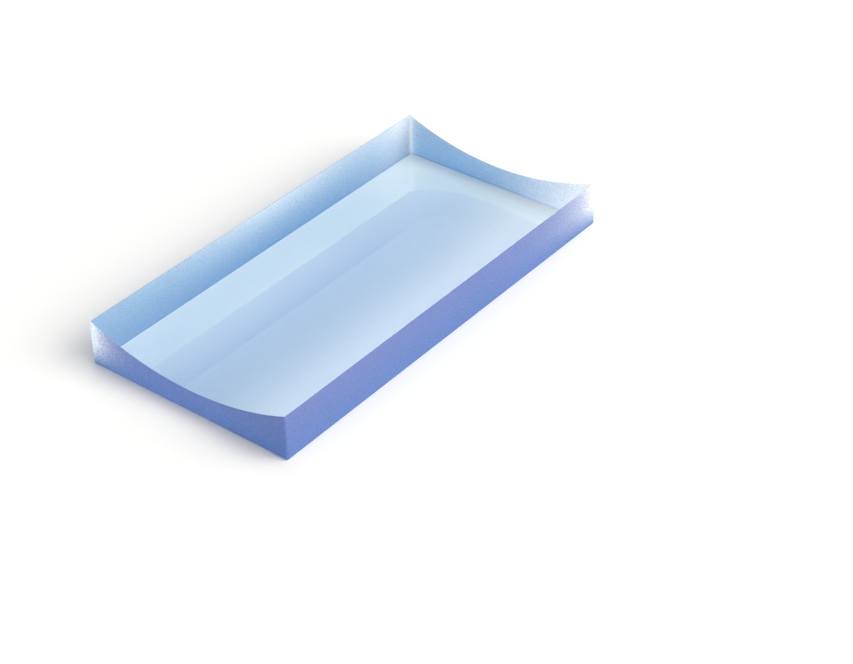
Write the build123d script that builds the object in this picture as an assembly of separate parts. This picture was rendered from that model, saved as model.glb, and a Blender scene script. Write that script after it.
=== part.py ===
"""A rectangular plano-concave cylindrical lens, ground and polished from one block of optical glass.

The origin is the centre of the flat polished face that the lens lies on. +X runs along the cylinder
axis of the curved face, +Y across the curve, and +Z is the optical axis, up out of the curved face.
"""

import os
from math import sqrt

from build123d import *

# Driving sizes, in millimetres
LENGTH = 50.0  # of the blank, along the cylinder axis
WIDTH = 25.0  # of the blank, across the curve
CENTRE_THICKNESS = 2.5  # glass between the flat face and the lowest line of the curve
CURVE_RADIUS = 32.0  # of the concave face
BEVEL = 0.12  # leg of the protective bevel that is stoned along every edge

# Sizes that follow from them
CURVE_DEPTH = CURVE_RADIUS - sqrt(CURVE_RADIUS**2 - (WIDTH / 2) ** 2)
EDGE_THICKNESS = CENTRE_THICKNESS + CURVE_DEPTH


def lens_section():
    """The lens seen along the cylinder axis: a flat foot, two upright sides and one hollow arc."""
    half = WIDTH / 2
    foot_left, foot_right = (-half, 0), (half, 0)
    rim_left, rim_right = (-half, EDGE_THICKNESS), (half, EDGE_THICKNESS)
    with BuildSketch(Plane.YZ) as section:
        with BuildLine():
            Polyline(rim_left, foot_left, foot_right, rim_right)
            RadiusArc(rim_right, rim_left, CURVE_RADIUS)
        make_face()
    return section.sketch


def lens_blank():
    """The glass before its edges are touched: the section drawn out along the cylinder axis."""
    return extrude(lens_section(), LENGTH / 2, both=True)


def bevelled(glass):
    """Takes the sharpness off every edge, as a protective bevel does."""
    return chamfer(glass.edges(), BEVEL)


def build_lens():
    lens = bevelled(lens_blank())
    lens.label = "lens"
    return lens


os.makedirs("parts", exist_ok=True)
export_step(build_lens(), "parts/lens.step")
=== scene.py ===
"""A rectangular plano-concave cylindrical lens on a white studio floor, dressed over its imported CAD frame.

Lengths are in metres in the CAD frame: the lens lies with its flat face on z = 0, +X runs along the
cylinder axis of its hollow face and +Z is up. Its near end is at -X and its near side at -Y.
"""

from math import atan2, cos, radians, sin, sqrt

import bmesh
import bpy
from mathutils import Matrix, Vector


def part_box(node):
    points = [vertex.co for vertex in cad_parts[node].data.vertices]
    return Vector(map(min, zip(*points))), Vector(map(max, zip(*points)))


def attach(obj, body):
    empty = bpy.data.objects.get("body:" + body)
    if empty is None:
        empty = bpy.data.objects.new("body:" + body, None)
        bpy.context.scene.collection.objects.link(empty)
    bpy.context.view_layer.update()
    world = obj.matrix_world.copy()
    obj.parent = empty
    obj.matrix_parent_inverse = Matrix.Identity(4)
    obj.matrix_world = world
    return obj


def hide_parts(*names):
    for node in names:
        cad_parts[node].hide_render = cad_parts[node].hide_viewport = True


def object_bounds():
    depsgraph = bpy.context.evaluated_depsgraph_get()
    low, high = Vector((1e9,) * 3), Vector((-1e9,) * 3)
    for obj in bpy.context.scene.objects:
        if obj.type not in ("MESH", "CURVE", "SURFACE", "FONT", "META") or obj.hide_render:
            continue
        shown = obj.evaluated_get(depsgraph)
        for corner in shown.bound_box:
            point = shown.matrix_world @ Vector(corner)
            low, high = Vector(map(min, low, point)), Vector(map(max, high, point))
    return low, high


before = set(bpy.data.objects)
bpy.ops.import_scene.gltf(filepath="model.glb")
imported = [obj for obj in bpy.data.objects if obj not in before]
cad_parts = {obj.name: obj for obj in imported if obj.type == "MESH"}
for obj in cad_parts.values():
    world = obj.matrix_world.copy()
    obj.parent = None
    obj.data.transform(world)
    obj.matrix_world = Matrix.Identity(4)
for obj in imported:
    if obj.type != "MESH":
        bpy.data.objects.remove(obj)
CAD_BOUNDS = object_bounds()

bl_info = {
    "name": "Cylindrical Lens",
    "version": (1, 0, 0),
    "blender": (4, 5, 0),
    "location": "3D View > Sidebar > Lens",
    "description": "Makes a plano-concave cylindrical lens of optical glass and a studio to show it in",
    "category": "Add Mesh",
}

MM = 0.001

# The frame is 853 pixels wide. The focal length in pixels and the camera's place were fitted to the
# corners and edges of the lens.
FRAME_WIDTH_PX = 853
FOCAL_PX = 1949.7
SENSOR_WIDTH_MM = 36.0
CAMERA_AZIMUTH = radians(-51.67)  # from -Y, turned about +Z
CAMERA_ELEVATION = radians(35.75)
CAMERA_ROLL = radians(-0.98)
CAMERA_RIGHT = 7.21 * MM
CAMERA_UP = -4.32 * MM
CAMERA_DISTANCE = 199.8 * MM
CAMERA_CLIP_START = 5.0 * MM

FLOOR_GAP = 0.02 * MM  # keeps the floor just clear of the flat face

# Radiance of the studio's walls against the sine of the elevation.
WALL_GLOW = [(0.0, 1.25), (0.52, 0.08), (1.0, 0.05)]

# The soft lights: azimuth from -Y turned about +Z, elevation, spread, colour, and radiance at the middle.
SOFT_LIGHTS = [
    (radians(18), radians(37), radians(28), "ffffff", 6.5),  # the key light
    (radians(-97), radians(20), radians(18), "ffffff", 1.8),  # fills the near end
    (radians(125), radians(62), radians(18), "ffffff", 1.8),  # lifts the rim from behind
    (radians(138), radians(4), radians(16), "ffffff", 1.7),  # shines off the hollow face at its front
    (radians(128), radians(36), radians(16), "0086ff", 0.5),  # seen in the flat face's mirror, past the sides
]

CORNER_ANGLE = radians(20)  # an edge that turns by more than this gets the bevel
SMOOTH_ANGLE = radians(5)  # an edge that turns by less than this is shaded smooth
POLISHED_MARGIN = 0.01  # keeps the steepest flats of the arc with the polished faces
GROUND = "ground"  # the attribute that is 1 on the fine-ground faces and 0 on the polished ones

# Light passes the polished faces unbent, as the photographed edges run straight on through the glass, so the
# coat alone makes the mirror. Its IOR and weights are matched to the bands that the sides leave in the glass.
BODY_IOR = 1.0
COAT_IOR = 4.0
MIRROR_OUTSIDE = 0.3
MIRROR_INSIDE = 1.0
# Right beside the sides the mirror is weakened, so that the floor seen there looks paler, as painted light.
MIRROR_BESIDE_SIDES = 0.3  # what is left of the mirror right beside a side
ABSORPTION_PER_METRE = 3.0

# Fine grinding leaves pits of about 0.02 mm. They are drawn at 0.12 mm, or none would show.
PIT_SIZE = 0.12 * MM
NOISE_LOW = 0.3  # nearly all of the noise that stands for the pits lies between these two
NOISE_HIGH = 0.7
# The sparkle is painted light: the pits break up the painted outer glow.
SPARKLE_DEPTH = 0.2  # how far the pits change the outer glow
GRAIN_DEPTH = 0.16  # how far the pits change the colour
FROST_ROUGHNESS = 0.6
FROST_SPECULAR = 0.3
FROST_LETS_THROUGH = 0.5  # share of the light that the fine-ground sides let through
# The colour turns from the foot to the top: through the glass it is painted darker and bluer at the foot, as
# painted shade, and outside it turns from blue to violet.
COLOUR_RISE = 5.0 * MM  # height over which the colour of the foot turns to that of the top
# The outer glow is painted light, kept off the foot.
GLOW_START = 0.1 * MM  # height at which the outer glow starts
GLOW_FULL = 2.6 * MM  # height at which it is full

HALF_LENGTH = round(CAD_BOUNDS[1][0] / MM, 3)
HALF_WIDTH = round(CAD_BOUNDS[1][1] / MM, 3)

# Painted pools of light, in millimetres: the middle, how much each axis counts towards the distance from it,
# the reach, the power of the fall-off and the strength.
# Painted light: a near-white glow painted into the outer colour of the fine-ground sides, near two upright
# edges.
OUTER_PAINTED_GLOW_POOLS = [
    ((-HALF_LENGTH, HALF_WIDTH, 0.0), (1, 1, 0), 1.6, 1, 1.5),  # where the near end meets the far side
    ((HALF_LENGTH, -HALF_WIDTH, 0.0), (1, 1, 0), 4.0, 1, 0.85),  # where the near side meets the far end
    ((HALF_LENGTH, -HALF_WIDTH, 0.0), (1, 1, 0), 1.0, 1, 0.45),  # brighter still right at that edge
]
# Painted light: pale patches and a pale upright edge painted into the colour of the fine-ground sides seen
# through the glass.
INNER_PAINTED_GLOW_POOLS = [
    ((HALF_LENGTH, -HALF_WIDTH, 0.0), (1, 1, 0), 9.0, 1.5, 0.78),  # the far end, towards the near side
    ((HALF_LENGTH, 0.0, 0.0), (1, 0, 0), 1.0, 2, 0.05),  # a little all along the far end
    ((HALF_LENGTH - 2.0, HALF_WIDTH, 5.5), (0.7, 6, 0.5), 3.0, 1, 0.8),  # the far side, towards the far end
    ((HALF_LENGTH, HALF_WIDTH, 0.0), (1, 1, 0), 0.25, 2, 0.35),  # the upright edge between these two
    ((2.0, HALF_WIDTH, 5.5), (0.2, 1, 1), 2.6, 2, 0.5),  # the middle of the far side's top
]
# Painted light on the polished faces beside the far side and far end: a paler tint and a weaker mirror there.
SIDE_PAINTED_LIGHT_POOLS = [
    ((0.0, HALF_WIDTH, 0.0), (0, 1, 0), 3.0, 1, 1.0),  # beside the far side
    ((HALF_LENGTH, 0.0, 0.0), (1, 0, 0), 4.0, 1, 1.0),  # beside the far end
    ((HALF_LENGTH, -HALF_WIDTH, 0.0), (1, 1, 0), 9.0, 1, 0.4),  # where the near side meets the far end
]

# Settings that several nodes share.
MULTIPLY = {"operation": "MULTIPLY"}
MULTIPLY_ADD = {"operation": "MULTIPLY_ADD"}
BLEND = {"data_type": "RGBA", "clamp_factor": True}


def linear(hex_colour):
    """An sRGB hex colour as linear red, green, blue and alpha."""
    channels = [int(hex_colour[i : i + 2], 16) / 255 for i in (0, 2, 4)]
    return [c / 12.92 if c <= 0.04045 else ((c + 0.055) / 1.055) ** 2.4 for c in channels] + [1.0]


def node(tree, kind, settings=None, **inputs):
    """Adds a node with its settings, and sets or links its inputs by name, or as in0, in1 by place."""
    made = tree.nodes.new(kind)
    for name, value in (settings or {}).items():
        setattr(made, name, value)
    for name, value in inputs.items():
        place = name.removeprefix("in")
        socket = made.inputs[int(place) if place.isdigit() else name.replace("_", " ")]
        if isinstance(value, bpy.types.NodeSocket):
            tree.links.new(value, socket)
        else:
            socket.default_value = value
    return made


def new_material(name):
    """A material with no nodes in it yet."""
    material = bpy.data.materials.new(name)
    material.use_nodes = True
    material.node_tree.nodes.clear()
    return material


def new_object(name, bm, material):
    """Turns a finished bmesh into an object in the scene."""
    mesh = bpy.data.meshes.new(name)
    bm.to_mesh(mesh)
    bm.free()
    mesh.materials.append(material)
    made = bpy.data.objects.new(name, mesh)
    bpy.context.scene.collection.objects.link(made)
    return made


def direction(azimuth, elevation):
    """The way to a place seen from the lens: azimuth from -Y, turned about +Z."""
    return Vector((sin(azimuth) * cos(elevation), -cos(azimuth) * cos(elevation), sin(elevation)))


class LensSizes(bpy.types.PropertyGroup):
    """What the lens is ground to; its length and width come from the CAD frame."""

    centre_thickness: bpy.props.FloatProperty(
        name="Centre Thickness",
        description="Glass between the flat face and the lowest line of the curve",
        default=2.5 * MM,
        min=0.5 * MM,
        precision=5,
        subtype="DISTANCE",
        unit="LENGTH",
    )
    curve_radius: bpy.props.FloatProperty(
        name="Curve Radius",
        description="Radius of the hollow cylindrical face",
        default=32.0 * MM,
        min=15.0 * MM,
        precision=5,
        subtype="DISTANCE",
        unit="LENGTH",
    )
    bevel: bpy.props.FloatProperty(
        name="Bevel",
        description="Leg of the protective bevel stoned along every edge",
        default=0.12 * MM,
        min=0.02 * MM,
        precision=5,
        subtype="DISTANCE",
        unit="LENGTH",
    )
    arc_steps: bpy.props.IntProperty(
        name="Arc Steps",
        description="Flats that the hollow face is divided into",
        default=96,
        min=16,
    )


class LensColours(bpy.types.PropertyGroup):
    """Colours of the glass, as light sent back or let through, partly painted: the outer colours are darker,
    as for a side in shade, the inner ones paler, as for a side lit from behind, and the glows are painted
    light.
    """

    outer_foot: bpy.props.FloatVectorProperty(
        name="Outer Foot",
        description="A fine-ground side seen from outside, at its foot",
        default=linear("6f8ac4"),
        size=4,
        min=0.0,
        max=1.0,
        subtype="COLOR",
    )
    outer_top: bpy.props.FloatVectorProperty(
        name="Outer Top",
        description="A fine-ground side seen from outside, at its top",
        default=linear("7d8abf"),
        size=4,
        min=0.0,
        max=1.0,
        subtype="COLOR",
    )
    outer_painted_glow: bpy.props.FloatVectorProperty(
        name="Outer Glow",
        description="A fine-ground side seen from outside, where light gathers",
        default=linear("fdfdfd"),
        size=4,
        min=0.0,
        max=1.0,
        subtype="COLOR",
    )
    inner_foot: bpy.props.FloatVectorProperty(
        name="Inner Foot",
        description="A fine-ground side seen through the glass, at its foot",
        default=linear("6ca1ce"),
        size=4,
        min=0.0,
        max=1.0,
        subtype="COLOR",
    )
    inner_top: bpy.props.FloatVectorProperty(
        name="Inner Top",
        description="A fine-ground side seen through the glass, at its top",
        default=linear("99b7d2"),
        size=4,
        min=0.0,
        max=1.0,
        subtype="COLOR",
    )
    inner_painted_glow: bpy.props.FloatVectorProperty(
        name="Inner Glow",
        description="A fine-ground side seen through the glass, where light gathers",
        default=linear("f8f9fb"),
        size=4,
        min=0.0,
        max=1.0,
        subtype="COLOR",
    )
    tint: bpy.props.FloatVectorProperty(
        name="Tint",
        description="Light that passes a polished face",
        default=linear("e8f5fd"),
        size=4,
        min=0.0,
        max=1.0,
        subtype="COLOR",
    )
    # The side tint is painted light, paler than the tint.
    side_painted_tint: bpy.props.FloatVectorProperty(
        name="Side Tint",
        description="Light that passes a polished face beside a fine-ground side",
        default=linear("f7fdff"),
        size=4,
        min=0.0,
        max=1.0,
        subtype="COLOR",
    )
    absorption: bpy.props.FloatVectorProperty(
        name="Absorption",
        description="Light that the body of the glass lets by",
        default=linear("00aae7"),
        size=4,
        min=0.0,
        max=1.0,
        subtype="COLOR",
    )


class StudioSettings(bpy.types.PropertyGroup):
    """The floor of the studio."""

    floor: bpy.props.FloatVectorProperty(
        name="Floor",
        description="Colour of the studio floor",
        default=linear("f0efeb"),
        size=4,
        min=0.0,
        max=1.0,
        subtype="COLOR",
    )
    floor_size: bpy.props.FloatProperty(
        name="Floor Size",
        description="Length of the floor's sides",
        default=6.0,
        min=1.0,
        subtype="DISTANCE",
        unit="LENGTH",
    )


def lens_mesh(sizes):
    """The lens: its section is swept up from the curve, drawn out along X and bevelled all round."""
    low, high = (Vector(corner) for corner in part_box("lens"))
    length = high.x - low.x
    half_width = (high.y - low.y) / 2
    if sizes.curve_radius <= half_width:
        raise ValueError("The curve radius must be more than half the width of the lens")
    half_angle = atan2(half_width, sqrt(sizes.curve_radius**2 - half_width**2))
    axis = Vector((low.x, 0, sizes.centre_thickness + sizes.curve_radius))

    bm = bmesh.new()
    rim = bmesh.ops.create_vert(bm, co=(low.x, 0, sizes.centre_thickness))["vert"]
    bmesh.ops.rotate(bm, verts=rim, cent=axis, matrix=Matrix.Rotation(-half_angle, 3, "X"))
    bmesh.ops.spin(bm, geom=rim, cent=axis, axis=(1, 0, 0), angle=2 * half_angle, steps=sizes.arc_steps)
    foot = bmesh.ops.extrude_edge_only(bm, edges=bm.edges[:])["geom"]
    bmesh.ops.scale(bm, vec=(1, 1, 0), verts=[v for v in foot if isinstance(v, bmesh.types.BMVert)])
    far_end = bmesh.ops.extrude_face_region(bm, geom=bm.faces[:])["geom"]
    far_verts = [v for v in far_end if isinstance(v, bmesh.types.BMVert)]
    bmesh.ops.translate(bm, vec=(length, 0, 0), verts=far_verts)
    bmesh.ops.recalc_face_normals(bm, faces=bm.faces)

    corners = [e for e in bm.edges if e.calc_face_angle() > CORNER_ANGLE]
    bmesh.ops.bevel(
        bm,
        geom=corners,
        offset=sizes.bevel,
        offset_type="OFFSET",
        affect="EDGES",
        segments=1,
        profile=0.5,
        material=-1,
    )
    bmesh.ops.recalc_face_normals(bm, faces=bm.faces)

    ground = bm.faces.layers.float.new(GROUND)
    for face in bm.faces:
        polished = abs(face.normal.z) > cos(half_angle) - POLISHED_MARGIN
        face[ground] = 0.0 if polished else 1.0
        face.smooth = polished
    for edge in bm.edges:
        edge.smooth = edge.calc_face_angle() < SMOOTH_ANGLE
    return bm


def add_painted_light_pools(tree, place, pools):
    """The sum of soft painted pools of light, each strongest at its point."""
    total = 0.0
    for point, stretch, reach, power, strength in pools:
        shares = [axis / (reach * MM) for axis in stretch]
        middle = [axis * along / reach for axis, along in zip(stretch, point)]
        away = node(tree, "ShaderNodeVectorMath", MULTIPLY, in0=place, in1=shares).outputs[0]
        away = node(tree, "ShaderNodeVectorMath", {"operation": "DISTANCE"}, in0=away, in1=middle)
        away = node(tree, "ShaderNodeMath", {"operation": "POWER"}, in0=away.outputs["Value"], in1=power)
        fade = node(tree, "ShaderNodeMath", MULTIPLY, in0=away.outputs[0], in1=-1.0).outputs[0]
        fade = node(tree, "ShaderNodeMath", {"operation": "EXPONENT"}, in0=fade).outputs[0]
        total = node(tree, "ShaderNodeMath", MULTIPLY_ADD, in0=fade, in1=strength, in2=total).outputs[0]
    return total


def frosted_shader(tree, place, inside, colours):
    """Fine-ground glass, which scatters light back and through, with a fine sparkle.

    It looks violet-blue from outside and sky-blue through the glass, partly its own blue and partly painted:
    the outside colour is painted darker, as for a side in shade, and the inside one paler, as for a side lit
    from behind. It is almost white in painted glow where light gathers.
    """
    pits = node(tree, "ShaderNodeTexNoise", Vector=place, Scale=1 / PIT_SIZE, Detail=1.0).outputs["Fac"]
    sparkle, grain = (
        node(
            tree, "ShaderNodeMapRange", in0=pits, in1=NOISE_LOW, in2=NOISE_HIGH, in3=1 - depth, in4=1 + depth
        ).outputs[0]
        for depth in (SPARKLE_DEPTH, GRAIN_DEPTH)
    )
    height = node(tree, "ShaderNodeSeparateXYZ", in0=place).outputs["Z"]
    rise = node(tree, "ShaderNodeMapRange", in0=height, in1=0.0, in2=COLOUR_RISE).outputs[0]
    above_foot = node(tree, "ShaderNodeMapRange", in0=height, in1=GLOW_START, in2=GLOW_FULL).outputs[0]

    # Painted glow on the outside, none at the foot, broken into sparkle by the pits.
    outer_painted_glow = add_painted_light_pools(tree, place, OUTER_PAINTED_GLOW_POOLS)
    for share in (above_foot, sparkle):
        outer_painted_glow = node(tree, "ShaderNodeMath", MULTIPLY, in0=outer_painted_glow, in1=share).outputs[0]
    # Painted pale patches on the sides seen through the glass.
    inner_painted_glow = add_painted_light_pools(tree, place, INNER_PAINTED_GLOW_POOLS)
    views = []
    for foot, top, glow, brightest in (
        (colours.outer_foot, colours.outer_top, outer_painted_glow, colours.outer_painted_glow),
        (colours.inner_foot, colours.inner_top, inner_painted_glow, colours.inner_painted_glow),
    ):
        # Painted shade: through the glass the foot colour is darker than the top one.
        plain = node(tree, "ShaderNodeMix", BLEND, in0=rise, in6=foot, in7=top).outputs[2]
        views.append(node(tree, "ShaderNodeMix", BLEND, in0=glow, in6=plain, in7=brightest).outputs[2])
    # Lit and shaded copies of the frost: the darker outer colour is painted shade, the paler inner one
    # painted light from behind.
    frost = node(tree, "ShaderNodeMix", BLEND, in0=inside, in6=views[0], in7=views[1]).outputs[2]
    frost = node(tree, "ShaderNodeVectorMath", MULTIPLY, in0=frost, in1=grain).outputs[0]

    sent_back = node(
        tree,
        "ShaderNodeBsdfPrincipled",
        Base_Color=frost,
        Roughness=FROST_ROUGHNESS,
        Specular_IOR_Level=FROST_SPECULAR,
    ).outputs[0]
    let_through = node(tree, "ShaderNodeBsdfTranslucent", Color=frost).outputs[0]
    return node(
        tree, "ShaderNodeMixShader", in0=FROST_LETS_THROUGH, in1=sent_back, in2=let_through
    ).outputs[0]


def polished_shader(tree, place, inside, colours):
    """Polished glass, clear, which mirrors the sides from within and so has pale bands beside them, and right
    beside the sides a paler tint and a weaker mirror as painted light.
    """
    # Painted light: a paler tint and a weaker mirror beside the sides.
    beside = add_painted_light_pools(tree, place, SIDE_PAINTED_LIGHT_POOLS)
    tint = node(tree, "ShaderNodeMix", BLEND, in0=beside, in6=colours.tint, in7=colours.side_painted_tint)
    mirror = node(tree, "ShaderNodeMapRange", in0=inside, in3=MIRROR_OUTSIDE, in4=MIRROR_INSIDE).outputs[0]
    kept = node(tree, "ShaderNodeMapRange", in0=beside, in3=1.0, in4=MIRROR_BESIDE_SIDES).outputs[0]
    mirror = node(tree, "ShaderNodeMath", MULTIPLY, in0=mirror, in1=kept)
    return node(
        tree,
        "ShaderNodeBsdfPrincipled",
        Base_Color=tint.outputs[2],
        Roughness=0.0,
        IOR=BODY_IOR,
        Transmission_Weight=1.0,
        Coat_Weight=mirror.outputs[0],
        Coat_Roughness=0.0,
        Coat_IOR=COAT_IOR,
    ).outputs[0]


def glass_material(colours):
    """Crown glass, its flat and hollow faces polished and its four sides and bevels fine-ground."""
    material = new_material("crown_glass_polished_and_fine_ground")
    tree = material.node_tree
    place = node(tree, "ShaderNodeTexCoord").outputs["Object"]
    inside = node(tree, "ShaderNodeNewGeometry").outputs["Backfacing"]
    ground = node(tree, "ShaderNodeAttribute", {"attribute_name": GROUND}).outputs["Fac"]
    frosted = frosted_shader(tree, place, inside, colours)
    polished = polished_shader(tree, place, inside, colours)
    surface = node(tree, "ShaderNodeMixShader", in0=ground, in1=polished, in2=frosted).outputs[0]
    body = node(
        tree,
        "ShaderNodeVolumeAbsorption",
        Color=colours.absorption,
        Density=ABSORPTION_PER_METRE,
    ).outputs[0]
    node(tree, "ShaderNodeOutputMaterial", Surface=surface, Volume=body)
    return material


def floor_material(colour):
    """Matt white paper sweep, which gives back soft light and no highlight."""
    material = new_material("matt_white_paper")
    tree = material.node_tree
    paper = node(
        tree, "ShaderNodeBsdfPrincipled", Base_Color=colour, Roughness=0.9, Specular_IOR_Level=0.0
    ).outputs[0]
    node(tree, "ShaderNodeOutputMaterial", Surface=paper)
    return material


def add_floor(settings):
    """The floor that the lens lies on."""
    bm = bmesh.new()
    bmesh.ops.create_grid(bm, x_segments=1, y_segments=1, size=settings.floor_size / 2)
    bmesh.ops.translate(bm, vec=(0, 0, -FLOOR_GAP), verts=bm.verts)
    floor = new_object("studio_floor", bm, floor_material(settings.floor))


def add_soft_lights():
    """The studio as a world: walls that fade upwards, and soft lights that fade out from their middles."""
    world = bpy.data.worlds.new("soft_studio")
    world.use_nodes = True
    tree = world.node_tree
    tree.nodes.clear()
    way = node(tree, "ShaderNodeTexCoord").outputs["Generated"]
    up = node(tree, "ShaderNodeSeparateXYZ", in0=way).outputs["Z"]
    walls = node(tree, "ShaderNodeValToRGB", in0=up)
    stops = walls.color_ramp.elements
    brightest = max(radiance for _, radiance in WALL_GLOW)
    for position, _ in WALL_GLOW[1:-1]:
        stops.new(position)
    for stop, (position, radiance) in zip(stops, WALL_GLOW):
        stop.position = position
        stop.color = (*[radiance / brightest] * 3, 1)
    total = node(tree, "ShaderNodeVectorMath", MULTIPLY, in0=walls.outputs[0], in1=[brightest] * 3).outputs[0]
    for azimuth, elevation, spread, colour, radiance in SOFT_LIGHTS:
        sharpness = 1 / (1 - cos(spread))
        middle = direction(azimuth, elevation)
        light = [radiance * channel for channel in linear(colour)[:3]]
        near = node(tree, "ShaderNodeVectorMath", {"operation": "DOT_PRODUCT"}, in0=way, in1=middle)
        near = near.outputs["Value"]
        fall = node(tree, "ShaderNodeMath", MULTIPLY_ADD, in0=near, in1=sharpness, in2=-sharpness).outputs[0]
        fade = node(tree, "ShaderNodeMath", {"operation": "EXPONENT"}, in0=fall).outputs[0]
        total = node(tree, "ShaderNodeVectorMath", MULTIPLY_ADD, in0=fade, in1=light, in2=total).outputs[0]
    glow = node(tree, "ShaderNodeBackground", Color=total, Strength=1.0)
    node(tree, "ShaderNodeOutputWorld", Surface=glow.outputs[0])
    bpy.context.scene.world = world


def add_camera():
    """The photograph's viewing angle and focal length."""
    back = direction(CAMERA_AZIMUTH, CAMERA_ELEVATION)
    level_right = Vector((0, 0, 1)).cross(back).normalized()
    level_up = back.cross(level_right)
    right = level_right * cos(CAMERA_ROLL) + level_up * sin(CAMERA_ROLL)
    up = level_up * cos(CAMERA_ROLL) - level_right * sin(CAMERA_ROLL)
    lens = bpy.data.cameras.new("studio_camera")
    lens.sensor_width = SENSOR_WIDTH_MM
    lens.lens = FOCAL_PX / FRAME_WIDTH_PX * SENSOR_WIDTH_MM
    lens.clip_start = CAMERA_CLIP_START
    camera = bpy.data.objects.new("studio_camera", lens)
    bpy.context.scene.collection.objects.link(camera)
    stand = Matrix((right, up, back)).transposed().to_4x4()
    stand.translation = right * CAMERA_RIGHT + up * CAMERA_UP + back * CAMERA_DISTANCE
    camera.matrix_world = stand
    bpy.context.scene.camera = camera


def set_light_paths():
    """Light crosses the lens many times, so its paths are kept long."""
    scene = bpy.context.scene
    scene.view_settings.view_transform = "Standard"
    scene.cycles.max_bounces = 24
    scene.cycles.transmission_bounces = 24
    scene.cycles.glossy_bounces = 12
    scene.cycles.diffuse_bounces = 8
    scene.cycles.transparent_max_bounces = 16
    scene.cycles.blur_glossy = 0.0
    scene.cycles.sample_clamp_indirect = 0.0


class LENS_OT_make_lens(bpy.types.Operator):
    """Make the lens over its CAD body"""

    bl_idname = "lens.make_lens"
    bl_label = "Make Lens"
    bl_options = {"REGISTER", "UNDO"}

    def execute(self, context):
        scene = context.scene
        lens = new_object("cylindrical_lens", lens_mesh(scene.lens_sizes), glass_material(scene.lens_colours))
        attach(lens, "root")
        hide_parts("lens")
        return {"FINISHED"}


class LENS_OT_make_studio(bpy.types.Operator):
    """Make the floor, the lights and the camera"""

    bl_idname = "lens.make_studio"
    bl_label = "Make Studio"
    bl_options = {"REGISTER", "UNDO"}

    def execute(self, context):
        add_floor(context.scene.studio_settings)
        add_soft_lights()
        add_camera()
        set_light_paths()
        return {"FINISHED"}


class LENS_PT_panel(bpy.types.Panel):
    """The lens's sizes and colours, and the buttons that make it"""

    bl_idname = "LENS_PT_panel"
    bl_label = "Cylindrical Lens"
    bl_space_type = "VIEW_3D"
    bl_region_type = "UI"
    bl_category = "Lens"

    def draw(self, context):
        layout = self.layout
        for group in (context.scene.lens_sizes, context.scene.lens_colours, context.scene.studio_settings):
            column = layout.column(align=True)
            for name in group.bl_rna.properties.keys():
                if name not in ("rna_type", "name"):
                    column.prop(group, name)
        layout.operator(LENS_OT_make_lens.bl_idname)
        layout.operator(LENS_OT_make_studio.bl_idname)


CLASSES = (LensSizes, LensColours, StudioSettings, LENS_OT_make_lens, LENS_OT_make_studio, LENS_PT_panel)


def register():
    for cls in CLASSES:
        bpy.utils.register_class(cls)
    bpy.types.Scene.lens_sizes = bpy.props.PointerProperty(type=LensSizes)
    bpy.types.Scene.lens_colours = bpy.props.PointerProperty(type=LensColours)
    bpy.types.Scene.studio_settings = bpy.props.PointerProperty(type=StudioSettings)


def unregister():
    del bpy.types.Scene.studio_settings
    del bpy.types.Scene.lens_colours
    del bpy.types.Scene.lens_sizes
    for cls in reversed(CLASSES):
        bpy.utils.unregister_class(cls)


def main():
    register()
    bpy.ops.lens.make_lens()
    bpy.ops.lens.make_studio()


if __name__ == "__main__":
    main()
